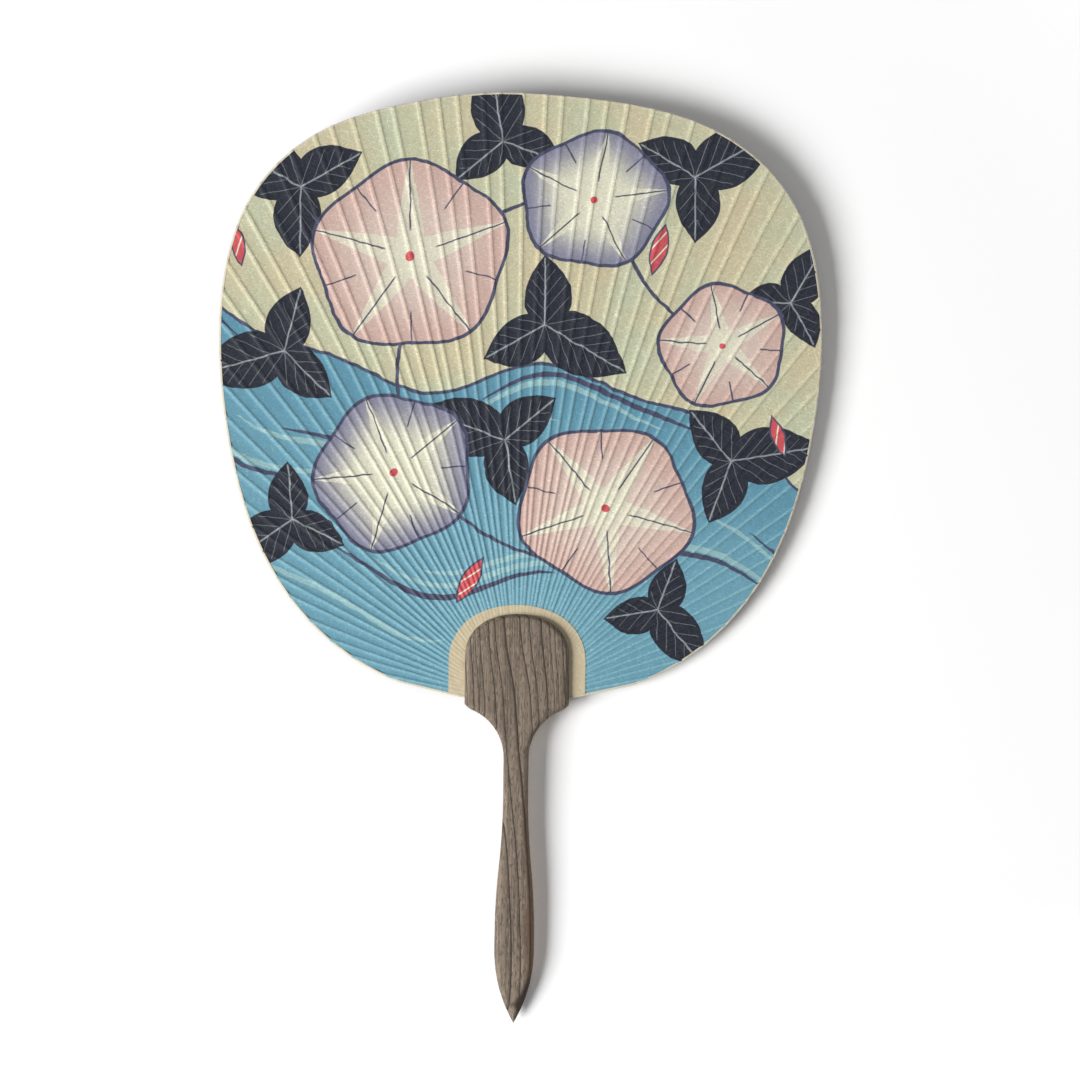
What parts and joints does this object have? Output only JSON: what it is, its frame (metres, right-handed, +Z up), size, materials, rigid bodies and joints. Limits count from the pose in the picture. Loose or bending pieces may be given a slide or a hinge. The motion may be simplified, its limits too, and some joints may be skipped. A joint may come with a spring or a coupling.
{
  "type": "round hand fan",
  "caption": "Round paper hand fan: ridged paper faces over radiating bamboo ribs, a bound rim, arched collar papers and a flat wooden handle with a slotted head.",
  "frame": {"origin": "middle of the grip, in the middle plane of the handle and the face", "axes": "+Z up along the handle to the crown of the face, -Y out of the front, +X to the right from the front"},
  "size_m": [0.2504, 0.008, 0.3864],
  "materials": {
    "handle_wood": "brushed grey-brown softwood, dark grain lines, matt",
    "front_paper": "printed handmade paper, cream ground, matt",
    "back_paper": "plain handmade paper, cream, matt",
    "collar_paper": "heavier cream paper, matt",
    "binding_paper": "thin cream paper strip, matt",
    "bamboo": "split bamboo, smooth"
  },
  "bodies": {
    "root": {"handle": "handle_wood", "front_paper": "front_paper", "back_paper": "back_paper", "front_collar_paper": "collar_paper", "back_collar_paper": "collar_paper", "rim_binding": "binding_paper", "rib_centre": "bamboo", "rib_pair_01": "bamboo", "rib_pair_02": "bamboo", "rib_pair_03": "bamboo", "rib_pair_04": "bamboo", "rib_pair_05": "bamboo", "rib_pair_06": "bamboo", "rib_pair_07": "bamboo", "rib_pair_08": "bamboo", "rib_pair_09": "bamboo", "rib_pair_10": "bamboo", "rib_pair_11": "bamboo", "rib_pair_12": "bamboo", "rib_pair_13": "bamboo", "rib_pair_14": "bamboo", "rib_pair_15": "bamboo", "rib_pair_16": "bamboo", "rib_pair_17": "bamboo", "rib_pair_18": "bamboo", "rib_pair_19": "bamboo", "rib_pair_20": "bamboo", "rib_pair_21": "bamboo", "rib_pair_22": "bamboo", "rib_pair_23": "bamboo", "rib_pair_24": "bamboo", "rib_pair_25": "bamboo", "rib_pair_26": "bamboo", "rib_pair_27": "bamboo", "rib_pair_28": "bamboo", "rib_pair_29": "bamboo", "rib_pair_30": "bamboo", "rib_pair_31": "bamboo", "rib_pair_32": "bamboo"}
  },
  "joints": []
}
